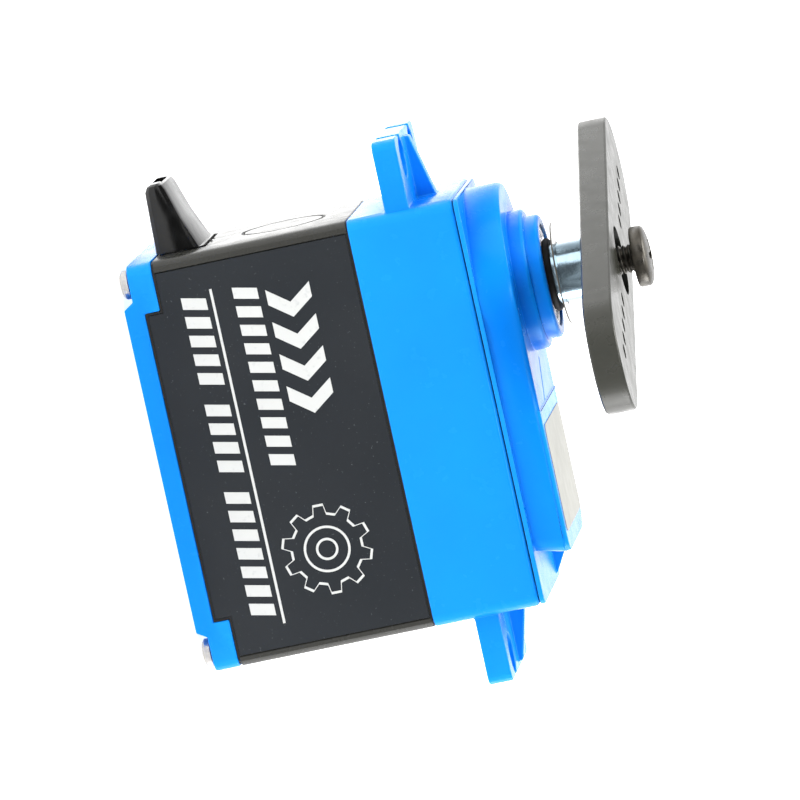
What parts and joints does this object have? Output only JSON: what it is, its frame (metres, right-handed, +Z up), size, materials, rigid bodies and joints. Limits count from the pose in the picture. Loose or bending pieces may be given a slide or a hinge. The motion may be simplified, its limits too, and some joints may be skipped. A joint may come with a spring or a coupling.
{
  "type": "servo motor",
  "caption": "Standard-size waterproof hobby servo with a metal gear train, an output shaft in ball bearings, a double-arm horn and open slots in its mounting ears.",
  "frame": {"origin": "middle of the flat underside of the bottom cover", "axes": "+Z up along the output shaft, +X along the case away from the shaft end, -Y towards the side with the label"},
  "size_m": [0.0543, 0.045, 0.0504],
  "materials": {
    "blue_plastic": "moulded, light gloss",
    "black_plastic": "moulded, matt",
    "label_film": "satin film",
    "black_rubber": "matt",
    "horn_plastic": "moulded, satin",
    "shaft_steel": "ground",
    "zinc_steel": "zinc plated",
    "black_steel": "black oxide",
    "gear_steel": "machined",
    "gear_brass": "machined",
    "bearing_steel": "polished",
    "motor_steel": "drawn, plated",
    "ferrite": "sintered",
    "copper": "enamelled wire",
    "board_green": "solder resist",
    "chip_black": "moulded",
    "capacitor_sleeve": "shrink sleeve",
    "sensor_green": "moulded",
    "wire_white": "insulation"
  },
  "bodies": {
    "housing": {"bottom_cover": "blue_plastic", "bottom_gasket": "black_rubber", "middle_case": "black_plastic", "side_label": "label_film", "cable_boot": "black_rubber", "case_gasket": "black_rubber", "gear_case": "blue_plastic", "top_gasket": "black_rubber", "top_cover": "blue_plastic", "case_screw_1": "zinc_steel", "case_screw_2": "zinc_steel", "case_screw_3": "zinc_steel", "case_screw_4": "zinc_steel", "control_board": "board_green", "microcontroller": "chip_black", "motor_driver_1": "chip_black", "motor_driver_2": "chip_black", "board_capacitor": "capacitor_sleeve", "potentiometer_body": "sensor_green", "sensor_wire_1": "wire_white", "sensor_wire_2": "wire_white", "sensor_wire_3": "wire_white", "motor_can": "motor_steel", "motor_end_cap": "black_plastic", "motor_magnet_1": "ferrite", "motor_magnet_2": "ferrite", "motor_terminal_1": "gear_brass", "motor_terminal_2": "gear_brass", "motor_screw_1": "zinc_steel", "motor_screw_2": "zinc_steel", "idler_pin": "shaft_steel", "shaft_seal": "black_rubber", "lower_bearing_outer_race": "bearing_steel", "upper_bearing_outer_race": "bearing_steel"},
    "output": {"output_shaft": "shaft_steel", "output_gear": "gear_steel", "servo_horn": "horn_plastic", "horn_screw": "black_steel", "thrust_washer": "shaft_steel", "potentiometer_shaft": "shaft_steel", "upper_bearing_inner_race": "bearing_steel", "lower_bearing_inner_race": "bearing_steel"},
    "third_wheel": {"third_gear": "gear_steel"},
    "second_wheel": {"second_gear": "gear_steel"},
    "first_wheel": {"first_gear": "gear_brass"},
    "motor_armature": {"motor_rotor": "copper", "motor_pinion": "gear_brass"},
    "upper_cage": {"upper_bearing_balls": "bearing_steel"},
    "lower_cage": {"lower_bearing_balls": "bearing_steel"}
  },
  "joints": [
    {"name": "output_turn", "type": "hinge", "parent": "housing", "child": "output", "pos_m": [-0.01015, 0, 0.04], "axis": [0, 0, 1], "range_deg": [-90, 90]},
    {"name": "third_gear_turn", "type": "hinge", "parent": "housing", "child": "third_wheel", "pos_m": [0.00045, 0, 0.031], "axis": [0, 0, 1], "range_deg": [-310, 310]},
    {"name": "second_gear_turn", "type": "hinge", "parent": "housing", "child": "second_wheel", "pos_m": [-0.01015, 0, 0.0285], "axis": [0, 0, 1], "range_deg": [-1060, 1060]},
    {"name": "first_gear_turn", "type": "hinge", "parent": "housing", "child": "first_wheel", "pos_m": [0.00045, 0, 0.0265], "axis": [0, 0, 1], "range_deg": [-4020, 4020]},
    {"name": "motor_turn", "type": "hinge", "parent": "housing", "child": "motor_armature", "pos_m": [0.01005, 0, 0.015], "axis": [0, 0, 1], "range_deg": [-21700, 21700]},
    {"name": "upper_cage_turn", "type": "hinge", "parent": "housing", "child": "upper_cage", "pos_m": [-0.01015, 0, 0.0388], "axis": [0, 0, 1], "range_deg": [-45, 45]},
    {"name": "lower_cage_turn", "type": "hinge", "parent": "housing", "child": "lower_cage", "pos_m": [-0.01015, 0, 0.02325], "axis": [0, 0, 1], "range_deg": [-45, 45]}
  ],
  "couplings": [
    {"joint": "third_gear_turn", "follows": "output_turn", "ratio": -3.4167},
    {"joint": "second_gear_turn", "follows": "output_turn", "ratio": 11.674},
    {"joint": "first_gear_turn", "follows": "output_turn", "ratio": -44.572},
    {"joint": "motor_turn", "follows": "output_turn", "ratio": 240.69},
    {"joint": "upper_cage_turn", "follows": "output_turn", "ratio": 0.444},
    {"joint": "lower_cage_turn", "follows": "output_turn", "ratio": 0.434}
  ]
}
